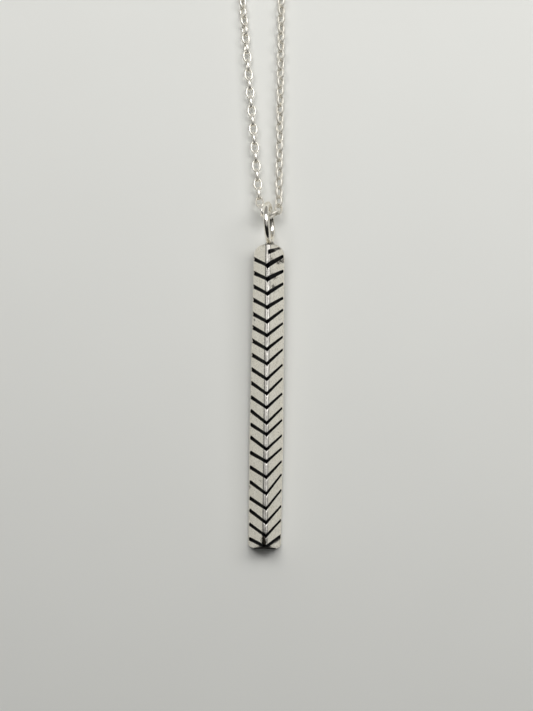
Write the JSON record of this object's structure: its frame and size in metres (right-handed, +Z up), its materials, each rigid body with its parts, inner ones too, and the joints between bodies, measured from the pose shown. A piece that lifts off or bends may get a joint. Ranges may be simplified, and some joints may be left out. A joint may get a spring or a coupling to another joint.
{
  "type": "triangular bar pendant on a cable chain",
  "caption": "Slim silver bar pendant of triangular section with blackened herringbone grooves, a soldered ring and a fine cable chain.",
  "frame": {"origin": "middle of the lower edge of the bar's flat back, on the surface that the pendant lies on", "axes": "+Y along the bar towards its ring and on to the chain, +Z up from the surface, +X to the right seen from above"},
  "size_m": [0.1025, 0.2287, 0.0055],
  "materials": {
    "silver": "satin sterling silver, burnished along the ridge, with blackened grooves",
    "chain_silver": "bright drawn silver wire"
  },
  "bodies": {
    "root": {"pendant": "silver", "chain_links": "chain_silver", "chain_back": "chain_silver", "clasp": "chain_silver"}
  },
  "joints": []
}
